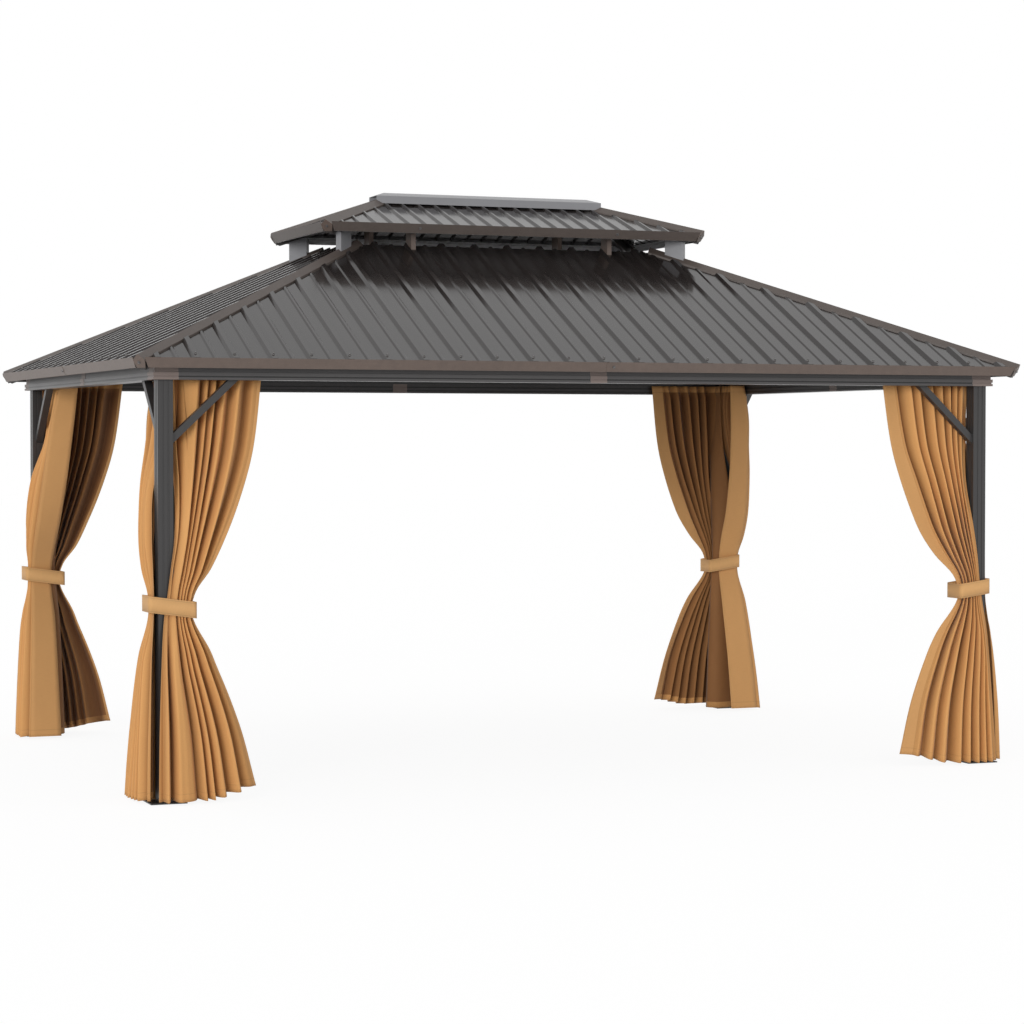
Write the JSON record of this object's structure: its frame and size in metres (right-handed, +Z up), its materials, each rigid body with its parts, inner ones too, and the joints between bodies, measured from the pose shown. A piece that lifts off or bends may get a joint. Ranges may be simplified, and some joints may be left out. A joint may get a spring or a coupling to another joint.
{
  "type": "metal gazebo",
  "caption": "Open rectangular garden gazebo with fluted posts, a vented double hip roof of ribbed sheets and curtains tied back at the corners.",
  "frame": {"origin": "on the ground, under the middle of the roof", "axes": "+X along the long side, +Y to the back, +Z up"},
  "size_m": [4.89, 3.5222, 3.142],
  "materials": {
    "frame_charcoal": "satin charcoal powder coat over extruded aluminium",
    "roof_frame": "dark brown powder coat over aluminium tube",
    "roof_sheet": "semi-gloss dark grey coil coating on rolled steel",
    "brown_trim": "fine textured brown powder coat on folded steel",
    "taupe_fitting": "satin taupe powder coat on fittings",
    "ridge_grey": "semi-gloss light grey coating on folded steel",
    "curtain_cloth": "woven tan polyester curtain cloth",
    "tieback_cloth": "woven tan polyester tie band"
  },
  "bodies": {
    "root": {"common_rafters": "roof_frame", "curtain_back_left": "curtain_cloth", "curtain_back_right": "curtain_cloth", "curtain_front_left": "curtain_cloth", "curtain_front_right": "curtain_cloth", "curtain_rails": "frame_charcoal", "curtain_tiebacks": "tieback_cloth", "header_back": "frame_charcoal", "header_corners": "taupe_fitting", "header_front": "frame_charcoal", "header_left": "frame_charcoal", "header_right": "frame_charcoal", "header_splices": "taupe_fitting", "hip_end_plates": "brown_trim", "knee_braces_back_left": "frame_charcoal", "knee_braces_back_right": "frame_charcoal", "knee_braces_front_left": "frame_charcoal", "knee_braces_front_right": "frame_charcoal", "lower_fascia_back": "brown_trim", "lower_fascia_front": "brown_trim", "lower_fascia_left": "brown_trim", "lower_fascia_right": "brown_trim", "lower_hip_caps": "brown_trim", "lower_hip_rafters": "roof_frame", "lower_sheet_back": "roof_sheet", "lower_sheet_front": "roof_sheet", "lower_sheet_left": "roof_sheet", "lower_sheet_right": "roof_sheet", "post_back_left": "frame_charcoal", "post_back_right": "frame_charcoal", "post_feet": "frame_charcoal", "post_front_left": "frame_charcoal", "post_front_right": "frame_charcoal", "ridge_beam": "roof_frame", "ridge_cap": "ridge_grey", "upper_fascias": "brown_trim", "upper_hip_caps": "brown_trim", "upper_hip_rafters": "roof_frame", "upper_sheet_back": "roof_sheet", "upper_sheet_front": "roof_sheet", "upper_sheet_left": "roof_sheet", "upper_sheet_right": "roof_sheet", "vent_corner_posts": "ridge_grey", "vent_curb": "roof_frame", "vent_side_posts": "brown_trim"}
  },
  "joints": []
}
